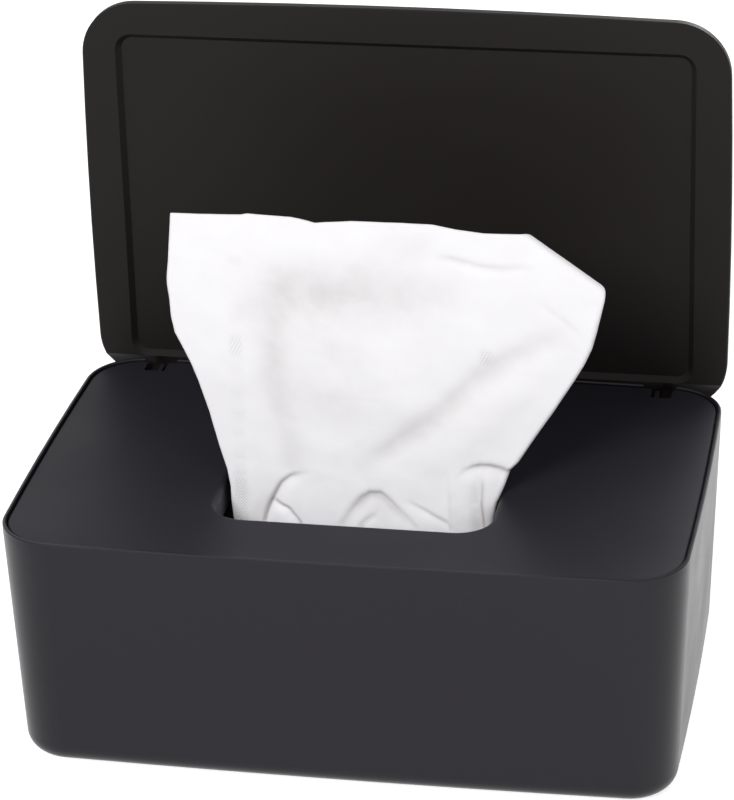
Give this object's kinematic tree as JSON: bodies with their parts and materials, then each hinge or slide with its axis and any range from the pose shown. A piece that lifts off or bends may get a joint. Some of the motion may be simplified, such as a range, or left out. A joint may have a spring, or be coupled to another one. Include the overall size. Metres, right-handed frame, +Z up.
{
  "type": "countertop wipes dispenser",
  "caption": "Countertop wipes box with leaning walls, a hinged lid standing open, an inner cover with a wide slot, interfolded wipes below and one wipe standing in the slot.",
  "frame": {"origin": "centre of the flat base, on the surface that the box stands on", "axes": "+X to the right along the front, +Y to the hinge side at the rear, +Z up"},
  "size_m": [0.188, 0.1263, 0.1817],
  "materials": {
    "tub_plastic": "fine satin moulded polypropylene",
    "cover_plastic": "satin moulded polypropylene",
    "lid_plastic": "fine matt moulded polypropylene",
    "wipe_cloth": "soft white nonwoven with an embossed edge strip"
  },
  "bodies": {
    "tub": {"tub": "tub_plastic", "folded_wipe_01": "wipe_cloth", "folded_wipe_02": "wipe_cloth", "folded_wipe_03": "wipe_cloth", "folded_wipe_04": "wipe_cloth", "folded_wipe_05": "wipe_cloth", "folded_wipe_06": "wipe_cloth", "folded_wipe_07": "wipe_cloth", "folded_wipe_08": "wipe_cloth", "folded_wipe_09": "wipe_cloth", "folded_wipe_10": "wipe_cloth", "folded_wipe_11": "wipe_cloth", "folded_wipe_12": "wipe_cloth", "folded_wipe_13": "wipe_cloth", "folded_wipe_14": "wipe_cloth", "folded_wipe_15": "wipe_cloth", "folded_wipe_16": "wipe_cloth"},
    "cover": {"inner_cover": "cover_plastic"},
    "lid": {"lid": "lid_plastic"},
    "wipe": {"standing_wipe": "wipe_cloth"}
  },
  "joints": [
    {"name": "cover_lift", "type": "slide", "parent": "tub", "child": "cover", "axis": [0, 0, 1], "range_m": [0, 0.05]},
    {"name": "lid_hinge", "type": "hinge", "parent": "cover", "child": "lid", "pos_m": [0, 0.05585, 0.06485], "axis": [-1, 0, 0], "range_deg": [-90, 0], "deforming": ["standing_wipe"]},
    {"name": "wipe_pull", "type": "slide", "parent": "cover", "child": "wipe", "axis": [0, 0, 1], "range_m": [0, 0.03]}
  ]
}
